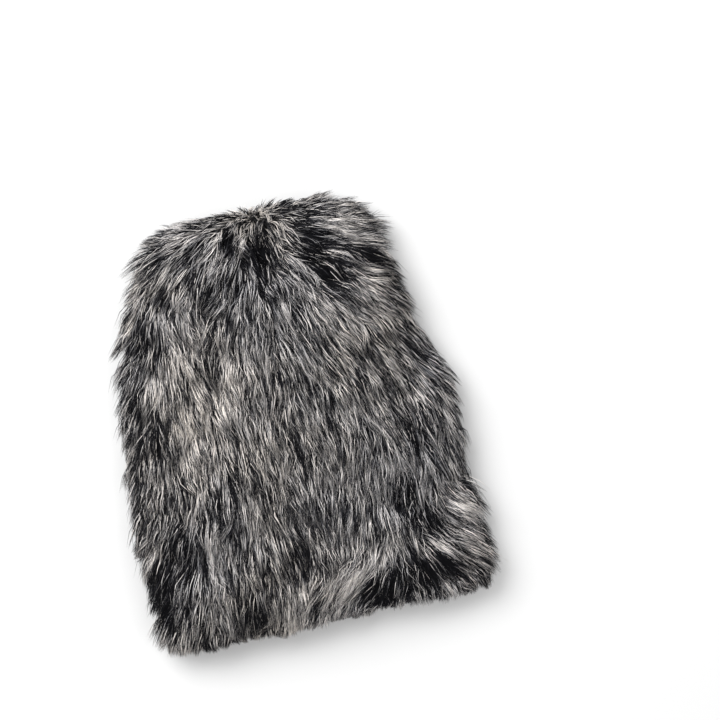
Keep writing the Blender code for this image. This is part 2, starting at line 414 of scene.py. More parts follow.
TUFTS += [(100, 120, 4, 12, 0.6), (-70, 50, 5, 20, 0.5), (115, -95, 5, 12, 0.8)]
TUFTS += [(100, -130, 4, 10, 0.8), (120, -130, 5, 13, 0.5), (30, -140, 6, 25, 0.8)]
TUFTS += [(5, -145, 12, 7, 0.6), (-45, 15, 8, 8, 0.8), (-75, -5, 6, 9, 0.5)]
TUFTS += [(-85, -80, 6, 11, 0.4)]


def hollows(x, y, spread):
    """The pockets and tufts at a place, from -1 to 1. A spread above 1 makes each wider and softer."""
    total = np.zeros_like(x)
    x = x + 2 * MM * drift(x, y, 8 * MM, 11)
    y = y + 2 * MM * drift(x, y, 8 * MM, 12)
    dips = [(*pocket[:4], -pocket[4]) for pocket in POCKETS]
    for at_x, at_y, wide, long, depth in dips + TUFTS:
        lean = combed(np.array([at_x * MM]), np.array([at_y * MM]))[0]
        away_x, away_y = x / MM - at_x, y / MM - at_y
        along = away_x * math.sin(lean) - away_y * math.cos(lean)
        across = away_x * math.cos(lean) + away_y * math.sin(lean)
        total += depth * np.exp(-((along / (long * spread)) ** 2) - (across / (wide * spread)) ** 2)
    return np.clip(total, -1, 1)


def pleats(x, y):
    """The pleats that fan out from the gather, from -1 in a groove to 1 on a ridge."""
    reach = np.hypot(x - GATHER[0], y - GATHER[1])
    angle = np.arctan2(x - GATHER[0], GATHER[1] - y) + 0.1 * drift(x, y, 15 * MM, 13)
    wave = np.sin(PLEAT_COUNT * angle + 2 * np.sin(2.3 * angle) + 0.6)
    return wave * np.exp(-(((reach - PLEAT_PEAK) / PLEAT_REACH) ** 2))


def folds(x, y):
    """The front panel's relief: its pleats, its hem's ridge and groove, its slack, its hollows."""
    sideways = 0.35 + 0.65 * ease((x + 60 * MM) / (90 * MM))
    ridge = RIDGE_HEIGHT * np.exp(-(((y - HEM_RIDGE_Y) / RIDGE_REACH) ** 2)) * sideways
    groove = GROOVE_DEPTH * np.exp(-(((y - HEM_GROOVE_Y) / GROOVE_REACH) ** 2)) * sideways
    slack = 1.8 * MM * drift(x, y, 55 * MM, 1) + 0.8 * MM * drift(x, y, 24 * MM, 2)
    sunk = RELIEF * hollows(x, y, RELIEF_SPREAD)
    return PLEAT_DEPTH * pleats(x, y) + ridge - groove + slack + sunk


def cloth_point(side, across, along):
    """A point of the front (side 1) or back (side -1) panel. Across is -1 to 1, and along is 0 to 1."""
    run = along * PANEL_RUN
    turn = np.clip((run - FLAT_RUN) / CROWN_ROUNDING, 0, math.pi / 2)
    y = mouth_y + np.minimum(run, FLAT_RUN) + CROWN_ROUNDING * np.sin(turn)
    closing = np.cos(turn)
    s = np.sin(across * math.pi / 2)
    half = half_width(y)
    for way, amount, at_y, reach in OUTLINE_WAVES:
        wave = np.exp(-(((y / MM - at_y) / reach) ** 2))
        half = half + np.where(s * way > 0, amount, 0) * MM * wave
    x = s * half
    open_share = ease((y - mouth_y) / OPENING_RUN)
    front_height = FRONT_LOFT[0] + FRONT_LOFT[1] * open_share
    back_height = BACK_LOFT[0] + BACK_LOFT[1] * open_share
    height = np.where(side > 0, front_height, back_height)
    rise = np.sqrt(np.clip(1 - np.abs(s) ** 3, 0, 1))
    z = middle_z + side * height * rise * closing
    z = z + np.where(side > 0, folds(x, y) * rise * closing * (0.25 + 0.75 * open_share), 0)
    return np.stack([x, y, z], axis=-1)


def unit(vectors):
    return vectors / np.maximum(np.linalg.norm(vectors, axis=-1, keepdims=True), 1e-9)


def cloth_directions(side, across, along):
    """At places of the cloth: outwards, along it towards the mouth, and along it towards +X."""
    step = 0.003
    near = np.clip(across, -1 + step, 1 - step)
    up_to = np.clip(along, step, 1 - step)
    side_step = cloth_point(side, near + step, up_to) - cloth_point(side, near - step, up_to)
    along_step = cloth_point(side, near, up_to + step) - cloth_point(side, near, up_to - step)
    normal = unit(np.cross(side_step, along_step) * np.reshape(side, (-1, 1)))
    return normal, unit(-along_step), unit(side_step)


top = cloth_point(1, np.zeros(3), np.array([0.0, 0.5, 0.9]))[:, 2] / MM
print("front cloth's height at the mouth, middle and crown, in mm:", top.round(1))

# %% [markdown]
# ## Knit panels
# The fur's ground cloth is a thin knit. Each panel starts as a flat grid, like the cut piece, and
# every vertex is moved to its place on the bag. Solidify then gives the knit its thickness,
# inwards.

# %% Knit panels
KNIT_THICKNESS = 1.2 * MM


def finish_mesh(name, bm):
    mesh = bpy.data.meshes.new(name)
    bm.to_mesh(mesh)
    bm.free()
    mesh.shade_smooth()
    made = bpy.data.objects.new(name, mesh)
    scene.collection.objects.link(made)
    return made


def add_knit_panel(name, side):
    bm = bmesh.new()
    bmesh.ops.create_grid(bm, x_segments=72, y_segments=90, size=1)
    flat = np.array([v.co for v in bm.verts])
    places = cloth_point(side, flat[:, 0], flat[:, 1] / 2 + 0.5)
    for vertex, place in zip(bm.verts, places):
        vertex.co = place
    if side < 0:
        bmesh.ops.reverse_faces(bm, faces=bm.faces)
    made = finish_mesh(name, bm)
    wall = made.modifiers.new("knit", "SOLIDIFY")
    wall.thickness = KNIT_THICKNESS
    wall.offset = -1
    return made


front_knit = add_knit_panel("front_knit", 1)
back_knit = add_knit_panel("back_knit", -1)
print("knit panels:", [len(panel.data.polygons) for panel in (front_knit, back_knit)], "faces")

# %% [markdown]
# ## Hem and elastic
# At the mouth the cloth is turned in and sewn down, which makes a channel, and a flat elastic
# runs round in it. The channel's inner layer is a sheet that starts at the lip, turns through
# half a circle and lies under the panel. The elastic is a closed ribbon between the two layers.
# Each is a grid whose vertices are placed by the same `cloth_point`, a little below the surface.

# %% Hem and elastic
HEM_TURN = 26 * MM
HEM_REACH = 0.9
CHANNEL = 2.6 * MM
ELASTIC_WIDTH = 8 * MM
ELASTIC_INSET = 13 * MM
ELASTIC_REACH = HEM_REACH * 0.97
PUCKER = 0.5 * MM
PUCKER_WAVES = 150
TURN_SHARE = 0.25
LIP_INSET = 0.8 * MM
FULL_ROOM = 6 * MM
HEM_THICKNESS = 0.9 * MM
ELASTIC_THICKNESS = 0.8 * MM


def under_cloth(side, across, from_mouth, depth):
    """A point inside the bag, below the cloth by a depth that shrinks where the panels meet."""
    along = from_mouth / PANEL_RUN
    place = cloth_point(side, across, along)
    room = np.abs(place[:, 2] - middle_z)
    place[:, 2] -= side * depth * np.clip(0.8 * room / FULL_ROOM, 0, 1)
    return place


def add_hem_fold(name, side):
    bm = bmesh.new()
    bmesh.ops.create_grid(bm, x_segments=90, y_segments=20, size=1)
    flat = np.array([v.co for v in bm.verts])
    across = flat[:, 0] * HEM_REACH
    run = (flat[:, 1] + 1) / 2
    turn = np.clip(run / TURN_SHARE, 0, 1) * math.pi
    inward = np.clip((run - TURN_SHARE) / (1 - TURN_SHARE), 0, 1)
    radius = CHANNEL / 2
    from_mouth = LIP_INSET - radius * np.sin(turn) + inward * HEM_TURN
    depth = KNIT_THICKNESS * 0.5 + radius * (1 - np.cos(turn))
    depth += inward * PUCKER * np.sin(across * PUCKER_WAVES) * np.sin(inward * math.pi)
    places = under_cloth(side, across, from_mouth, depth)
    for vertex, place in zip(bm.verts, places):
        vertex.co = place
    if side > 0:
        bmesh.ops.reverse_faces(bm, faces=bm.faces)
    made = finish_mesh(name, bm)
    wall = made.modifiers.new("knit", "SOLIDIFY")
    wall.thickness = HEM_THICKNESS
    wall.offset = -1
    return made


def add_elastic():
    bm = bmesh.new()
    bmesh.ops.create_grid(bm, x_segments=200, y_segments=3, size=1)
    flat = np.array([v.co for v in bm.verts])
    turn = flat[:, 0] * math.pi
    side = np.where(np.sin(turn) >= 0, 1, -1)
    across = np.cos(turn) * ELASTIC_REACH
    from_mouth = ELASTIC_INSET + flat[:, 1] * ELASTIC_WIDTH / 2
    places = under_cloth(side, across, from_mouth, np.full(len(flat), CHANNEL * 0.65))
    ends = np.abs(np.abs(across) - ELASTIC_REACH) < 1e-6
    places[ends, 2] = middle_z
    for vertex, place in zip(bm.verts, places):
        vertex.co = place
    bmesh.ops.remove_doubles(bm, verts=bm.verts, dist=0.01 * MM)
    bmesh.ops.recalc_face_normals(bm, faces=bm.faces)
    made = finish_mesh("elastic_loop", bm)
    wall = made.modifiers.new("braid", "SOLIDIFY")
    wall.thickness = ELASTIC_THICKNESS
    wall.offset = 0
    return made


front_hem = add_hem_fold("front_hem_fold", 1)
back_hem = add_hem_fold("back_hem_fold", -1)
elastic = add_elastic()
hem_faces = [len(made.data.polygons) for made in (front_hem, back_hem, elastic)]
print("hem folds and elastic:", hem_faces, "faces")

# %% [markdown]
# ## Threads
# Rows of stitches hold the side seams and the hem. One stitch is a short twisted bead: a small
# sphere, drawn out along its length. A row is that bead, joined many times over along a path.

# %% Threads
STITCH_LENGTH = 2.6 * MM
STITCH_GAP = 3.2 * MM
THREAD_RADIUS = 0.35 * MM
PATH_POINTS = 240
SEAM_START = 4 * MM
SEAM_INSET = 3 * MM


def add_stitches(name, path):
    """Stitches along a path of points, one every few millimetres."""
    steps = np.linalg.norm(np.diff(path, axis=0), axis=1)
    distance = np.concatenate([[0], np.cumsum(steps)])
    stops = np.arange(STITCH_GAP, distance[-1] - STITCH_GAP, STITCH_GAP)
    places = np.stack([np.interp(stops, distance, path[:, axis]) for axis in range(3)], axis=1)
    bm = bmesh.new()
    for i in range(1, len(places) - 1):
        heading = Vector(places[i + 1] - places[i - 1])
        turn = heading.to_track_quat("Z", "Y").to_matrix().to_4x4()
        size = Matrix.Diagonal((THREAD_RADIUS, THREAD_RADIUS, STITCH_LENGTH / 2, 1))
        placed = Matrix.Translation(Vector(places[i])) @ turn @ size
        bmesh.ops.create_uvsphere(bm, u_segments=6, v_segments=4, radius=1, matrix=placed)
    return finish_mesh(name, bm)


def hem_path(side):
    across = np.linspace(-1, 1, PATH_POINTS) * HEM_REACH
    from_mouth = np.full(PATH_POINTS, HEM_TURN * 0.9)
    depth = np.full(PATH_POINTS, KNIT_THICKNESS + CHANNEL + 0.5 * MM)
    return under_cloth(side, across, from_mouth, depth)


def seam_path(side):
    y = np.linspace(mouth_y + SEAM_START, crown_start_y, PATH_POINTS)
    return np.stack([side * (half_width(y) - SEAM_INSET), y, np.full(len(y), middle_z)], axis=1)


front_stitches = add_stitches("front_hem_stitches", hem_path(1))
back_stitches = add_stitches("back_hem_stitches", hem_path(-1))
left_stitches = add_stitches("left_seam_stitches", seam_path(-1))
right_stitches = add_stitches("right_seam_stitches", seam_path(1))
print("hem stitch row:", len(front_stitches.data.polygons), "faces")

# %% [markdown]
# ## Hair roots
# Hair grows evenly from the cloth, so the roots are spread by area. A fine net over each panel
# gives the area of each of its cells, a cell is drawn by that weight, and the root gets a random
# place in the cell. The middle of the back panel lies on the table, so it gets fewer hairs, and
# the lip of the mouth, where the cloth turns in, gets more. There the hairs point outwards, over
# the fold.

# %% Hair roots
NET = 240
FRONT_HAIRS = 88000
BACK_HAIRS = 26000

LIP_EXTRA = 2
LIP_DEPTH = 4 * MM
LIP_LEAN = 0.6
RESTING_SHARE = 0.12

# Where the back panel's rim starts, and over how much of the panel it sets in.
RIM_SIDES = (0.45, 0.3)
RIM_MOUTH = (0.14, 0.08)
RIM_CROWN = (0.88, 0.06)

rng = np.random.default_rng(7)


def spread_roots(side, count):
    """Random places on a panel, as across and along, with equal numbers on equal areas."""
    lines = np.linspace(0, 1, NET + 1)
    across, along = np.meshgrid(lines * 2 - 1, lines)
    net = cloth_point(side, across.ravel(), along.ravel()).reshape(NET + 1, NET + 1, 3)
    one = net[1:, 1:] - net[:-1, :-1]
    other = net[1:, :-1] - net[:-1, 1:]
    area = np.linalg.norm(np.cross(one, other), axis=-1) / 2
    if side < 0:
        rim = ease((np.abs(across[:-1, :-1]) - RIM_SIDES[0]) / RIM_SIDES[1])
        rim = rim + ease((RIM_MOUTH[0] - along[:-1, :-1]) / RIM_MOUTH[1])
        rim = rim + ease((along[:-1, :-1] - RIM_CROWN[0]) / RIM_CROWN[1])
        area = area * (RESTING_SHARE + np.clip(rim, 0, 1))
    area = area * (1 + LIP_EXTRA * np.exp(-along[:-1, :-1] * PANEL_RUN / LIP_DEPTH))
    weight = (area / area.sum()).ravel()
    cell = rng.choice(NET * NET, size=count, p=weight)
    row, column = np.divmod(cell, NET)
    across = ((column + rng.random(count)) / NET) * 2 - 1
    along = (row + rng.random(count)) / NET
    return across, along


def grow_roots():
    sides, across, along = [], [], []
    for side, count in ((1, FRONT_HAIRS), (-1, BACK_HAIRS)):
        a, b = spread_roots(side, count)
        sides.append(np.full(count, side))
        across.append(a)
        along.append(b)
    return np.concatenate(sides), np.concatenate(across), np.concatenate(along)


root_side, root_across, root_along = grow_roots()
roots = cloth_point(root_side, root_across, root_along)
normals, mouthward, sideward = cloth_directions(root_side, root_across, root_along)
lip_share = np.exp(-(roots[:, 1:2] - mouth_y) / LIP_DEPTH)
normals = unit(normals * (1 - LIP_LEAN * lip_share) + np.array([0, -LIP_LEAN, 0]) * lip_share)
print("hair roots:", len(roots))

# %% [markdown]
# ## Hair curves
# Each hair stands up from the cloth, then lies over along the nap. It is stepped along in a few
# short pieces, whose angle to the cloth falls from root to tip. Past the cover's edge there is
# nothing to lie on, so gravity bends the hair down. Near the mouth and the crown the hairs are
# short, as the cloth is trimmed there.

# %% Hair curves
STEPS = 12
STRAND_CUTS = (0.28, 0.62)
HAIR_LENGTH = 34 * MM
LENGTH_SHARES = (0.65, 1.2)
MOUTH_TRIM = (3.5, 10)
CROWN_TRIM = (9, 17)
GATHER_SHARE = 0.66
GATHER_REACH = 80 * MM
STAND_DEGREES = (38, 66)
STRAY = 0.18
CROWN_STRAY = 0.3
CROWN_LIFT = 0.3
WAVE = 0.22
DROOP = 0.35
TIP_DROOP = 0.45


def hair_lengths(places):
    """The length of each hair: shorter at the gather, and trimmed at the mouth and the crown."""
    x, y = places[:, 0], places[:, 1]
    count = len(places)
    length = HAIR_LENGTH * rng.uniform(*LENGTH_SHARES, count)
    reach = np.hypot(x - GATHER[0], y - GATHER[1])
    length *= GATHER_SHARE + (1 - GATHER_SHARE) * ease(reach / GATHER_REACH)
    length *= 1 + 0.12 * drift(x, y, 9 * MM, 9)
    mouth_trim = rng.uniform(*MOUTH_TRIM, count) + 4 * drift(x, y, 9 * MM, 10)
    past_mouth = (y - mouth_y) + mouth_trim * MM
    past_crown = (crown_y - y) * 1.8 + rng.uniform(*CROWN_TRIM, count) * MM
    return np.minimum(length, np.minimum(past_mouth, past_crown))


def bend_hairs(places, normal):
    """Every hair's line, as STEPS + 1 points."""
    x, y = places[:, 0], places[:, 1]
    count = len(places)
    lean = nap_lean(x, y, root_side)[:, None]
    nap = mouthward * np.cos(lean) + sideward * np.sin(lean)
    steepness = 1 - np.abs(normal[:, 2:3])
    nap = nap + steepness * np.array([0, 0, -DROOP])
    nap = unit(nap - normal * (nap * normal).sum(-1, keepdims=True))
    sideways = np.cross(normal, nap)
    crown_share = np.clip(normal[:, 1], 0, 1) ** 2
    stray = rng.normal(0, STRAY + CROWN_STRAY * crown_share)[:, None]
    nap = nap * np.cos(stray) + sideways * np.sin(stray)
    length = hair_lengths(places)
    stand = np.radians(rng.uniform(*STAND_DEGREES, count)) * (1 + 0.2 * drift(x, y, 14 * MM, 5))
    stand *= 0.45 + 0.55 * ease((y - mouth_y) / (25 * MM))
    lie = np.radians(rng.normal(5, 5, count)) + CROWN_LIFT * crown_share
    wave = rng.normal(0, WAVE, count)
    phase = rng.uniform(0, math.tau, count)
    line = [places]
    step = (length / STEPS)[:, None]
    for i in range(STEPS):
        t = (i + 0.5) / STEPS
        angle = (stand * (1 - t) ** 2 + lie)[:, None]
        yaw = (wave * np.sin(phase + 4.5 * t) * 1.6)[:, None]
        heading = nap * np.cos(angle) + normal * np.sin(angle) + sideways * np.sin(yaw)
        heading = heading + steepness * t * np.array([0, 0, -TIP_DROOP])
        line.append(line[-1] + unit(heading) * step)
    return np.stack(line, axis=1)


curves = bend_hairs(roots, normals)
print("hair curves:", curves.shape)

# %% [markdown]
# ## Tufts
# Fur doesn't lie hair by hair. Neighbours cling together in pointed tufts with dark gaps between
# them, and this is what makes it read as fur. Some hairs are chosen as leaders, each hair finds
# its nearest leader, and its line is drawn towards the leader's, more and more towards the tip.
# This is done twice: fine locks of a few hairs, then wide tufts of many locks.

# %% Tufts
HAIRS_IN_LOCK = 7
HAIRS_IN_TUFT = 60
LOCK_PULL = (0.45, 0.9)
TUFT_PULL = (0.15, 0.75)
LOCK_WIDTH = 0.2
TUFT_WIDTH = 0.35


def nearest_leader(leader_count):
    """Each hair's nearest leader, and that leader's number. They are compared just above the cloth."""
    chosen = rng.choice(len(roots), size=leader_count, replace=False)
    tree = KDTree(leader_count)
    for i, leader in enumerate(chosen):
        tree.insert(roots[leader] + normals[leader] * 2 * MM, i)
    tree.balance()
    found = np.array([tree.find(place)[1] for place in roots + normals * 2 * MM])
    return chosen[found], found


def draw_together(lines, leaders, pull, width):
    """Draws each hair's line towards its leader's by its pull, and more so towards the tip."""
    t = np.linspace(0, 1, STEPS + 1)[None, :, None]
    apart = (roots - roots[leaders])[:, None, :]
    target = lines[leaders] + apart * width
    return lines + (target - lines) * pull[:, None, None] * t**1.2


lock_leaders, lock_number = nearest_leader(len(roots) // HAIRS_IN_LOCK)
tuft_leaders, tuft_number = nearest_leader(len(roots) // HAIRS_IN_TUFT)
lock_pull = rng.uniform(*LOCK_PULL, lock_number.max() + 1)[lock_number]
tuft_pull = rng.uniform(*TUFT_PULL, tuft_number.max() + 1)[tuft_number]
curves = draw_together(curves, lock_leaders, lock_pull, LOCK_WIDTH)
curves = draw_together(curves, tuft_leaders, tuft_pull, TUFT_WIDTH)
print("locks and tufts:", lock_number.max() + 1, tuft_number.max() + 1)

# %% [markdown]
# ## Pressed by the table
# The hairs under the cover are pressed flat by the table. Below a small height each point is
# eased towards a thin gap over the table, and far above the cover a stray hair is eased back
# down.

# %% Pressed by the table
FLOOR_GAP = 0.6 * MM
PRESSED_BELOW = 3 * MM
PRESSED_DEPTH = 2.4 * MM
MOST_OVER = 9 * MM


def press(height):
    under = np.exp((height - PRESSED_BELOW) / PRESSED_DEPTH) * PRESSED_DEPTH
    height = np.where(height < PRESSED_BELOW, FLOOR_GAP + under, height)
    over = np.maximum(height - cad_high.z, 0)
    return np.minimum(height, cad_high.z) + MOST_OVER * (1 - np.exp(-over / MOST_OVER))


curves[:, :, 2] = press(curves[:, :, 2])
heights = curves[:, :, 2] / MM
print("lowest and highest hair, in mm:", heights.min().round(1), heights.max().round(1))

# %% [markdown]
# ## Shade of each hair
# The pile is a mix of black, grey and cream fibres. Each hair gets one number, its tone: 0 is black and
# 1 is cream. Part of it is the hair's own, part is its lock's and its tuft's, and part drifts over the
# cloth, so that the cream gathers in streaks and the black in patches. The tone also carries painted
# shade: it is darker towards the cover's sides, in the pockets and in the pleats' grooves, and a
# painted highlight makes it paler on the pleats' ridges. The tufts are paler.

# %% Shade of each hair
MEAN_TONE = 0.45
OWN_TONE = 0.27
LOCK_TONE = 0.08
TUFT_TONE = 0.04
FINE_STREAKS = 0.08
WIDE_STREAKS = 0.10
# Painted shade: hairs darken towards the cover's sides.
SIDE_PAINTED_SHADE = 0.05
SHADE_SPREAD = 1.2
TUFT_SHADE = 0.60
# Painted shade: hairs in the pockets are darkened.
POCKET_PAINTED_SHADE = 0.85
# Painted shade in the pleats' grooves and a painted highlight on their ridges.
PLEAT_PAINTED_SHADING = 0.10


def hair_tones():
    """Each hair's own tone."""
    count = len(roots)
    lock_tone = rng.normal(0, 1, lock_number.max() + 1)[lock_number]
    tuft_tone = rng.normal(0, 1, tuft_number.max() + 1)[tuft_number]
    own_tone = rng.normal(0, 1, count)
    return MEAN_TONE + OWN_TONE * own_tone + LOCK_TONE * lock_tone + TUFT_TONE * tuft_tone


def streak_field(cell, steps):
    """A function that reads random streaks. They are specks on a net, smeared along the nap."""
    net_x = np.arange(cad_low.x - 12 * MM, cad_high.x + 12 * MM, cell)
    net_y = np.arange(cad_low.y - 12 * MM, cad_high.y + 12 * MM, cell)

    def cell_of(x, y):
        i = np.clip(np.rint((x - net_x[0]) / cell).astype(int), 0, len(net_x) - 1)
        j = np.clip(np.rint((y - net_y[0]) / cell).astype(int), 0, len(net_y) - 1)
        return i, j

    x, y = np.meshgrid(net_x, net_y, indexing="ij")
    specks = rng.normal(size=x.shape)
    lean = nap_lean(x, y, 1)
    total = np.zeros_like(x)
    for way in (cell, -cell):
        at_x, at_y = x.copy(), y.copy()
        for _ in range(steps):
            here = cell_of(at_x, at_y)
            total += specks[here]
            at_x += way * np.sin(lean[here])
            at_y -= way * np.cos(lean[here])
    total /= total.std()
    return lambda x, y: total[cell_of(x, y)]


fine_streaks = streak_field(0.7 * MM, 12)
wide_streaks = streak_field(2.2 * MM, 14)


def place_tone(x, y, side):
    """What a place adds to a hair's tone there: its streaks, painted shade at the sides, in the pockets
    and in the pleats' grooves, a painted highlight on the pleats' ridges, and paler tufts.
    """
    drift_and_painted_side_shade = 0.07 * drift(x, y, 26 * MM, 6) + 0.07 * drift(x * 2.5, y, 20 * MM, 8)
    drift_and_painted_side_shade += FINE_STREAKS * fine_streaks(x, y) + WIDE_STREAKS * wide_streaks(x, y)
    # Painted shade: the hairs darken towards the sides, where the cover shades itself.
    drift_and_painted_side_shade -= SIDE_PAINTED_SHADE * ease((np.abs(x) - 70 * MM) / (40 * MM))
    tufts_and_painted_shading = hollows(x, y, SHADE_SPREAD)
    # Painted shade in the pockets and the pleats' grooves, and a painted highlight on the pleats'
    # ridges; the tufts are paler.
    tufts_and_painted_shading = np.where(tufts_and_painted_shading > 0, TUFT_SHADE, POCKET_PAINTED_SHADE) * tufts_and_painted_shading + PLEAT_PAINTED_SHADING * pleats(x, y)
    return drift_and_painted_side_shade, np.where(side > 0, tufts_and_painted_shading, 0)


tones = hair_tones()
tone_counts = np.histogram(tones, [0, 0.45, 0.7, 1.01])[0]
print("share of dark, grey and cream hairs:", (tone_counts / len(tones)).round(2))

# %% [markdown]
# ## One strand
# Blender's own hair isn't a mesh, and this part has to carry its fur as real, closed mesh. One
# strand is modelled: a three-sided cone, cut across so that it can bend. Its height is the share of
# the way along a hair.

# %% One strand
def strand_template():
    bm = bmesh.new()
    bmesh.ops.create_cone(bm, cap_ends=True, segments=3, radius1=1, radius2=0, depth=1)
    bmesh.ops.remove_doubles(bm, verts=bm.verts, dist=1e-5)
    bmesh.ops.translate(bm, verts=bm.verts, vec=(0, 0, 0.5))
    for share in STRAND_CUTS:
        cut = bm.verts[:] + bm.edges[:] + bm.faces[:]
        bmesh.ops.bisect_plane(bm, geom=cut, plane_co=(0, 0, share), plane_no=(0, 0, 1))
    mesh = bpy.data.meshes.new("strand")
    bm.to_mesh(mesh)
    bm.free()
    return mesh


strand = strand_template()
strand_corners = np.array([v.co for v in strand.vertices])
strand_share = strand_corners[:, 2]
strand_round = strand_corners[:, :2] / np.maximum(1 - strand_share, 1e-6)[:, None]
strand_round[strand_share > 0.999] = 0
strand_faces = [list(face.vertices) for face in strand.polygons]
triangles = sum(len(face) - 2 for face in strand_faces)
print("strand:", len(strand_corners), "vertices,", triangles, "triangles")

# %% [markdown]
# ## Fur pieces
# A fur piece is that strand, copied to many hairs at once with numpy: each copy's vertices are
# placed round its own hair's curve. The strand keeps its width for most of its length and ends in
# a point. Two numbers go with every vertex, as attributes that the material reads: the hair's
# tone, and how far along the hair it is.

# %% Fur pieces
HAIR_RADIUS = 0.24 * MM
MOST_TRIANGLES = 196000


def strand_vertices(lines, radius):
    """The vertices of a strand round each hair's line."""
    stops = strand_share * STEPS
    first = np.minimum(np.floor(stops).astype(int), STEPS - 1)
    share = (stops - first)[None, :, None]
    centre = lines[:, first] * (1 - share) + lines[:, first + 1] * share
    heading = lines[:, first + 1] - lines[:, first]
    heading /= np.maximum(np.linalg.norm(heading, axis=-1, keepdims=True), 1e-9)
    across = np.cross(heading, np.array([0.05, 0.1, 1.0]))
    across /= np.maximum(np.linalg.norm(across, axis=-1, keepdims=True), 1e-9)
    upward = np.cross(heading, across)
    taper = np.sqrt(np.clip(1 - strand_share**2.2, 0, 1)) * 0.9 + 0.1 * (strand_share < 0.999)
    width = radius[:, None, None] * taper[None, :, None]
    offset = across * strand_round[None, :, :1] + upward * strand_round[None, :, 1:2]
    return centre + offset * width


def add_attribute(mesh, name, values):
    layer = mesh.attributes.new(name, "FLOAT", "POINT")
    layer.data.foreach_set("value", np.ascontiguousarray(values, dtype=np.float32))


def add_fur(name, chosen):
    """One fur piece from the chosen hairs."""
    count = len(chosen)
    radius = HAIR_RADIUS * rng.uniform(0.75, 1.15, count)
    places = strand_vertices(curves[chosen], radius)
    size = len(strand_corners)
    one_copy = np.concatenate(strand_faces)
    face_sizes = np.array([len(face) for face in strand_faces])
    copies = (np.arange(count)[:, None] * size + one_copy[None, :]).ravel()
    face_totals = np.tile(face_sizes, count)
    face_starts = np.concatenate([[0], np.cumsum(face_totals)[:-1]])
    mesh = bpy.data.meshes.new(name)
    mesh.vertices.add(count * size)
    mesh.vertices.foreach_set("co", places.astype(np.float32).ravel())
    mesh.loops.add(len(copies))
    mesh.loops.foreach_set("vertex_index", copies.astype(np.int32))
    mesh.polygons.add(len(face_totals))
    mesh.polygons.foreach_set("loop_start", face_starts.astype(np.int32))
    mesh.update(calc_edges=True)
    sides = np.repeat(root_side[chosen], size)
    # The place's tone carries painted shade at the sides, in the pockets and in the pleats' grooves,
    # and a painted highlight on the pleats' ridges.
    streaks_and_painted_side_shade, tufts_and_painted_shading = place_tone(places[..., 0].ravel(), places[..., 1].ravel(), sides)
    tone = np.repeat(tones[chosen], size) + streaks_and_painted_side_shade
    tone += tufts_and_painted_shading * np.repeat(rng.uniform(0.1, 1.2, count), size)
    add_attribute(mesh, "tone", np.clip(tone, 0, 1))
    add_attribute(mesh, "along", np.tile(strand_share, count))
    mesh.shade_smooth()
    made = bpy.data.objects.new(name, mesh)
    scene.collection.objects.link(made)
    return made


# %% [markdown]
# The hairs are shared out by the part of the cover that they grow on, so that each fur piece
# stands for one of the frame's soft solids. A large region becomes several pieces side by side,
# to keep each mesh a handy size.

# %% Share out the hairs
SIDE_WALL = 0.82


def regions():
    """Which hairs belong to each of the frame's soft solids."""
    y = roots[:, 1]
    band = y < band_y
    crown = y > crown_start_y
    wall = (np.abs(root_across) > SIDE_WALL) & ~band & ~crown
    body = ~band & ~crown & ~wall
    front = root_side > 0
    return {
        "front_pile": body & front,
        "back_pile": body & ~front,
        "front_hem_band": band & front,
        "back_hem_band": band & ~front,
        "crown_gather": crown,
        "left_side_seam": wall & (root_across < 0),
        "right_side_seam": wall & (root_across > 0),
    }


fur_pieces = {}
for node, mask in regions().items():
    hairs = np.flatnonzero(mask)
    hairs = hairs[np.argsort(roots[hairs, 0])]
    batches = max(1, math.ceil(len(hairs) * triangles / MOST_TRIANGLES))
    pieces = []
    for i, batch in enumerate(np.array_split(hairs, batches)):
        label = node.replace("_pile", "") + "_fur" + (f"_{i + 1}" if batches > 1 else "")
        pieces.append(add_fur(label, batch))
    fur_pieces[node] = pieces
    print(node, len(hairs), "hairs in", batches, "pieces")

# %% [markdown]
# ## Fur finish
# The tone picks a colour from a ramp that runs from black with a cool tint to cream. Hairs are
# darker towards their roots, where little light reaches, and a slow noise shifts the greys a
# little between warm and cool.

# %% Fur finish
def fur_finish():
    look = Finish("fur_pile")
    tone = look.node("ShaderNodeAttribute", {"attribute_name": "tone"}, output="Fac")
    along = look.node("ShaderNodeAttribute", {"attribute_name": "along"}, output="Fac")
    stops = [
        (0.0, (0.003, 0.003, 0.004)),
        (0.44, (0.010, 0.010, 0.013)),
        (0.54, (0.10, 0.10, 0.105)),
        (0.64, (0.50, 0.49, 0.475)),
        (0.9, (0.93, 0.88, 0.81)),
    ]
    colour = look.node("ShaderNodeValToRGB", {"stops": stops}, {"Fac": tone})
    place = look.node("ShaderNodeTexCoord", output="Object")
    patch = look.node("ShaderNodeTexNoise", inputs={"Vector": place, "Scale": 14.0, "Detail": 1.0})
    tint = look.blend("MIX", patch, (1.06, 1.0, 0.93, 1), (0.94, 0.97, 1.08, 1))
    colour = look.blend("MULTIPLY", 1.0, colour, tint)
    shade = look.node("ShaderNodeMapRange", inputs={"Value": along, "From Max": 0.45, "To Min": 0.25})
    colour = look.blend("MULTIPLY", 1.0, colour, shade)
    return look.surface(Base_Color=colour, Roughness=0.55, Specular_IOR_Level=0.12)


fur_look = fur_finish()
for pieces in fur_pieces.values():
    for piece in pieces:
        piece.data.materials.append(fur_look)
print("fur pieces:", sum(len(pieces) for pieces in fur_pieces.values()))


# %% [markdown]
# ## Knit finish
# Two crossed waves stand for the columns and rows of a fine knit. They set both the tint and the
# bumps.

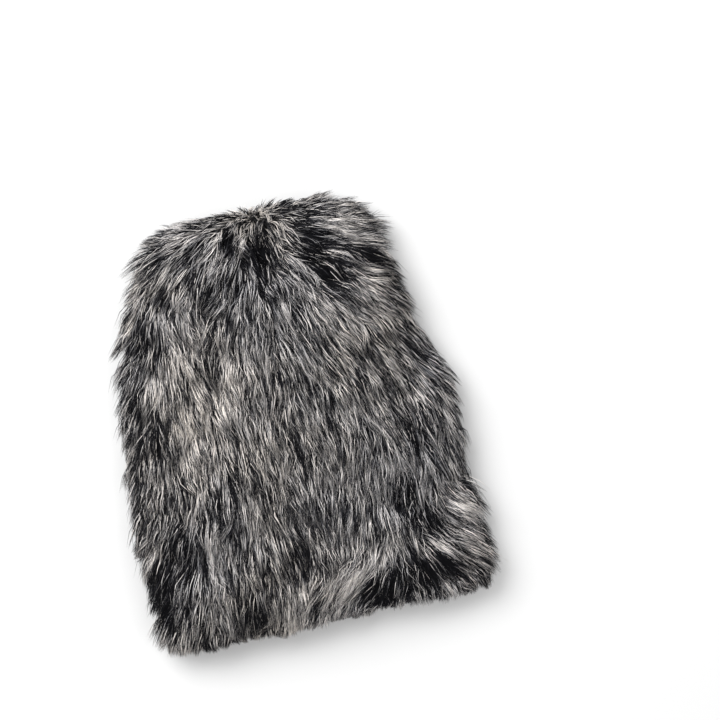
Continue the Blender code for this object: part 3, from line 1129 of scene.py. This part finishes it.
# %% Knit finish
def knit_finish():
    look = Finish("knit_backing")
    place = look.node("ShaderNodeTexCoord", output="Object")
    waves = {"Vector": place, "Scale": 380.0, "Distortion": 1.5, "Detail": 1.0}
    ribs = look.node("ShaderNodeTexWave", {"bands_direction": "X"}, waves, output="Fac")
    rows = look.node("ShaderNodeTexWave", {"bands_direction": "Y"}, waves, output="Fac")
    loops = ribs * 0.6 + rows * 0.4
    colour = look.blend("MIX", loops, (0.012, 0.012, 0.014, 1), (0.055, 0.055, 0.062, 1))
    bump = look.node("ShaderNodeBump", inputs={"Strength": 0.6, "Distance": 0.0004, "Height": loops})
    return look.surface(Base_Color=colour, Roughness=0.9, Normal=bump)


knit_look = knit_finish()
for panel in (front_knit, back_knit, front_hem, back_hem):
    panel.data.materials.append(knit_look)
for held in frame["nodes"]["crown_patch"].material_slots:
    held.material = knit_look
print("knit on:", knit_look.users, "pieces")


# %% [markdown]
# ## Thread and elastic finishes
# Spun thread and braid both have a slanted twist. One function makes either of them, from its
# tints and scale.

# %% Thread and elastic finishes
def twist_finish(name, dark, light, scale):
    look = Finish(name)
    place = look.node("ShaderNodeTexCoord", output="Object")
    turned = look.node("ShaderNodeMapping", inputs={"Vector": place, "Rotation": (0.6, 0.5, 0.8)})
    twist = look.node("ShaderNodeTexWave", inputs={"Vector": turned, "Scale": scale}, output="Fac")
    colour = look.blend("MIX", twist, (*dark, 1), (*light, 1))
    bump = look.node("ShaderNodeBump", inputs={"Strength": 0.5, "Distance": 0.0002, "Height": twist})
    return look.surface(Base_Color=colour, Roughness=0.6, Normal=bump)


thread_look = twist_finish("sewing_thread", (0.01, 0.01, 0.012), (0.05, 0.05, 0.055), 700)
braid_look = twist_finish("elastic_braid", (0.02, 0.02, 0.024), (0.09, 0.09, 0.095), 260)
for row in (front_stitches, back_stitches, left_stitches, right_stitches):
    row.data.materials.append(thread_look)
for held in frame["nodes"]["crown_gather_thread"].material_slots:
    held.material = thread_look
elastic.data.materials.append(braid_look)

# %% [markdown]
# ## Tie the pieces to the frame
# Every piece rides on the cover's one body, and the frame's plain solid that it stands for is hidden.
# The knit panels are sheets of cloth; the size that they and the hem were cut to is worked out and
# printed.

# %% Tie the pieces to the frame
body = list(frame["bodies"])[0]
for node, pieces in fur_pieces.items():
    for piece in pieces:
        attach(piece, body)
        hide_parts(node)

sewn = [
    (front_knit, "front_knit_panel", "knit_backing"),
    (back_knit, "back_knit_panel", "knit_backing"),
    (front_hem, "front_hem_casing", "knit_backing"),
    (back_hem, "back_hem_casing", "knit_backing"),
    (elastic, "hem_elastic", "elastic_braid"),
    (front_stitches, "front_hem_stitch", "sewing_thread"),
    (back_stitches, "back_hem_stitch", "sewing_thread"),
    (left_stitches, "left_seam_thread", "sewing_thread"),
    (right_stitches, "right_seam_thread", "sewing_thread"),
]
for piece, node, slot in sewn:
    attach(piece, body)
    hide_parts(node)

cut_width = 2 * half_width(mouth_y + 60 * MM) + 30 * MM
cut_length = crown_y - mouth_y + 20 * MM
hem_length = 2 * half_width(mouth_y) * math.sin(HEM_REACH * math.pi / 2)
hem_width = HEM_TURN + 5 * MM
print("panels cut to, in mm:", round(cut_width / MM), round(cut_length / MM))
print("hem turned in, in mm:", round(hem_length / MM), round(hem_width / MM))
